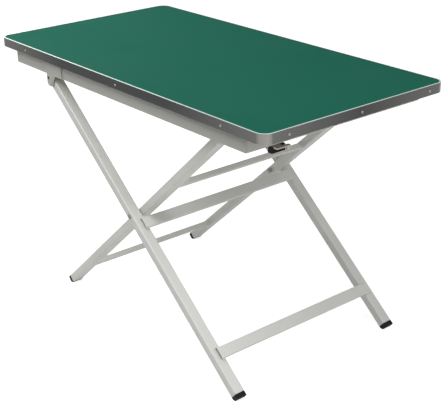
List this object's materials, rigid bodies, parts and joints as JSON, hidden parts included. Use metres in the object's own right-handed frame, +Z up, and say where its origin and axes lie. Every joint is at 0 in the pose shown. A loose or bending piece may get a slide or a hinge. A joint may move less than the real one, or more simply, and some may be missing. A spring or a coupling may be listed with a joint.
{
  "type": "folding dog grooming table",
  "caption": "Folding dog grooming table with a green rubber top in an aluminium edge, a tube frame and crossed tube legs with cross bars.",
  "frame": {"origin": "on the floor, under the middle of the table top", "axes": "+X along the table top's length towards the end with the catch, +Y across it to the far side, +Z up"},
  "size_m": [1.2, 0.614, 0.762],
  "materials": {
    "green_rubber": "fine pebbled rubber",
    "board_wood": "pale faced board, seen from below",
    "trim_aluminium": "satin",
    "grey_paint": "satin warm grey",
    "leg_aluminium": "satin, pale",
    "black_plastic": "matt",
    "brown_plastic": "satin dark brown",
    "plated_steel": "zinc plated",
    "dark_steel": "blackened"
  },
  "bodies": {
    "outer_legs": {"outer_stop_bar": "leg_aluminium", "outer_low_bar": "leg_aluminium", "outer_leg_near": "leg_aluminium", "outer_foot_near": "black_plastic", "outer_top_plug_near": "black_plastic", "cross_bolt_near": "dark_steel", "cross_spacer_near": "black_plastic", "cross_nut_near": "dark_steel", "outer_leg_far": "leg_aluminium", "outer_foot_far": "black_plastic", "outer_top_plug_far": "black_plastic", "cross_bolt_far": "dark_steel", "cross_spacer_far": "black_plastic", "cross_nut_far": "dark_steel"},
    "inner_legs": {"inner_upper_bar": "leg_aluminium", "inner_low_bar": "leg_aluminium", "inner_leg_near": "leg_aluminium", "inner_foot_near": "black_plastic", "inner_top_cap_near": "black_plastic", "inner_leg_far": "leg_aluminium", "inner_foot_far": "black_plastic", "inner_top_cap_far": "black_plastic"},
    "top": {"rubber_mat": "green_rubber", "table_board": "board_wood", "edge_trim": "trim_aluminium", "side_rail_near": "grey_paint", "side_rail_far": "grey_paint", "end_rail_left": "grey_paint", "end_rail_right": "grey_paint", "catch_block": "brown_plastic", "pivot_bracket_near": "grey_paint", "pivot_pin_near": "plated_steel", "pivot_washer_near": "plated_steel", "pivot_bracket_far": "grey_paint", "pivot_pin_far": "plated_steel", "pivot_washer_far": "plated_steel"},
    "catch_tongue": {"catch_tongue": "plated_steel", "catch_knob": "plated_steel"}
  },
  "joints": [
    {"name": "top_tilt", "type": "hinge", "parent": "outer_legs", "child": "top", "pos_m": [-0.335, 0, 0.675], "axis": [0, -1, 0], "range_deg": [0, 90]},
    {"name": "inner_leg_swing", "type": "hinge", "parent": "outer_legs", "child": "inner_legs", "pos_m": [0.02808, 0, 0.3734], "axis": [0, -1, 0], "range_deg": [0, 98.58]},
    {"name": "catch_slide", "type": "slide", "parent": "top", "child": "catch_tongue", "axis": [-1, 0, 0], "range_m": [0, 0.005], "stiffness_N_per_m": 400, "springref_m": -0.002}
  ],
  "couplings": [
    {"joint": "inner_leg_swing", "follows": "top_tilt", "ratio": 1.0954}
  ]
}
